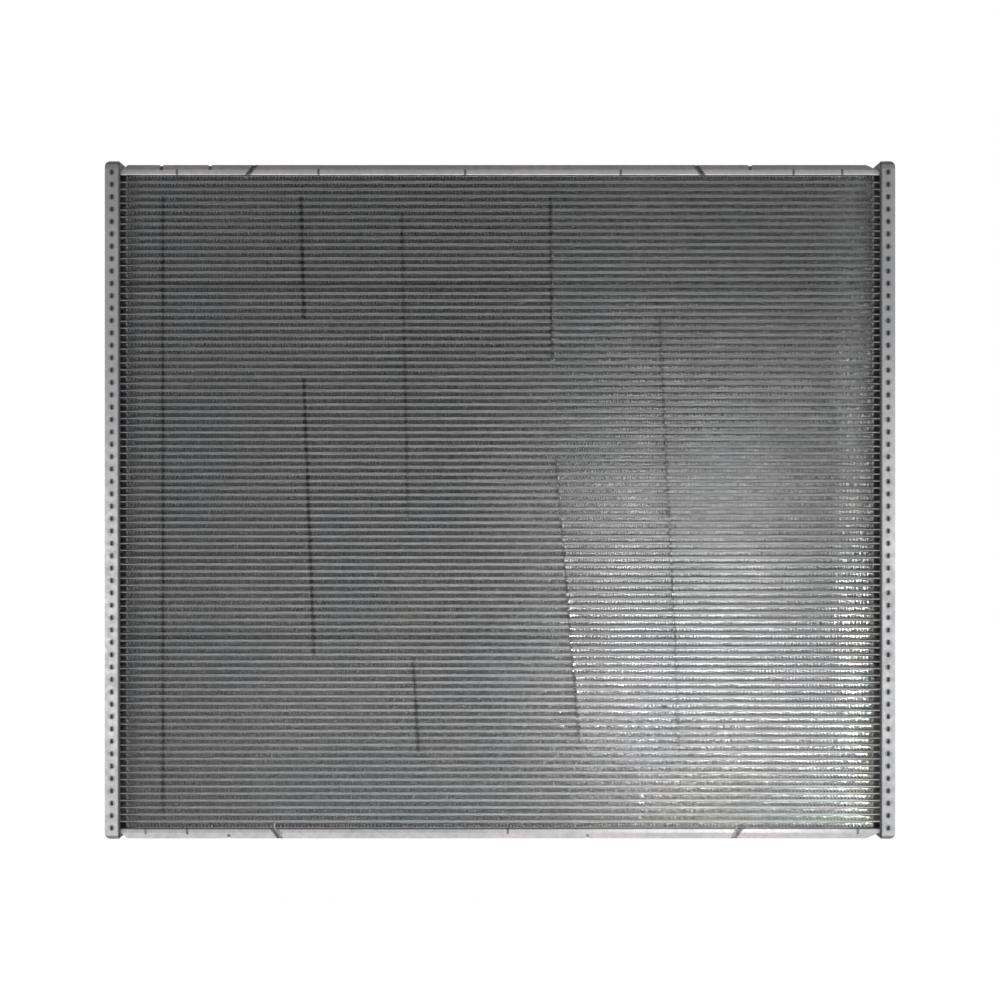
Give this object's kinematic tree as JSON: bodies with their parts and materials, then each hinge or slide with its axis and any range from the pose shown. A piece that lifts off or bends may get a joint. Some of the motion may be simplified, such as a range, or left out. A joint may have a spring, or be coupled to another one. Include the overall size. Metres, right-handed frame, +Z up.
{
  "type": "hydraulic oil cooler",
  "caption": "Brazed aluminium cooler core: flat oil tubes and folded air fins stacked between two side plates, with a slotted tray-shaped header on each end.",
  "frame": {"origin": "middle of the foot that the core stands on, at floor height", "axes": "+X along the oil tubes to the right header, +Y through the core with the air, from front to back, +Z up the stack of tubes"},
  "size_m": [0.907, 0.0732, 0.7801],
  "materials": {
    "header": "satin mill finish, heat-tinted by brazing",
    "side_plate": "satin mill finish",
    "tube": "brazed, dull",
    "fin": "brazed, dull, dusty",
    "turbulator": "brazed, dull"
  },
  "bodies": {
    "root": {"left_header": "header", "right_header": "header", "top_side_plate_left": "side_plate", "top_side_plate_middle": "side_plate", "top_side_plate_right": "side_plate", "bottom_side_plate_left": "side_plate", "bottom_side_plate_middle": "side_plate", "bottom_side_plate_right": "side_plate", "oil_tubes_01": "tube", "oil_tubes_02": "tube", "oil_tubes_03": "tube", "oil_tubes_04": "tube", "oil_tubes_05": "tube", "oil_tubes_06": "tube", "oil_tubes_07": "tube", "oil_tubes_08": "tube", "oil_tubes_09": "tube", "oil_tubes_10": "tube", "oil_tubes_11": "tube", "oil_tubes_12": "tube", "oil_tubes_13": "tube", "oil_tubes_14": "tube", "oil_tubes_15": "tube", "oil_tubes_16": "tube", "air_fins_01": "fin", "air_fins_02": "fin", "air_fins_03": "fin", "air_fins_04": "fin", "air_fins_05": "fin", "air_fins_06": "fin", "air_fins_07": "fin", "air_fins_08": "fin", "air_fins_09": "fin", "air_fins_10": "fin", "air_fins_11": "fin", "air_fins_12": "fin", "air_fins_13": "fin", "air_fins_14": "fin", "air_fins_15": "fin", "air_fins_16": "fin", "turbulators_01": "turbulator", "turbulators_02": "turbulator", "turbulators_03": "turbulator", "turbulators_04": "turbulator", "turbulators_05": "turbulator", "turbulators_06": "turbulator", "turbulators_07": "turbulator", "turbulators_08": "turbulator", "turbulators_09": "turbulator", "turbulators_10": "turbulator", "turbulators_11": "turbulator", "turbulators_12": "turbulator", "turbulators_13": "turbulator", "turbulators_14": "turbulator", "turbulators_15": "turbulator", "turbulators_16": "turbulator"}
  },
  "joints": []
}
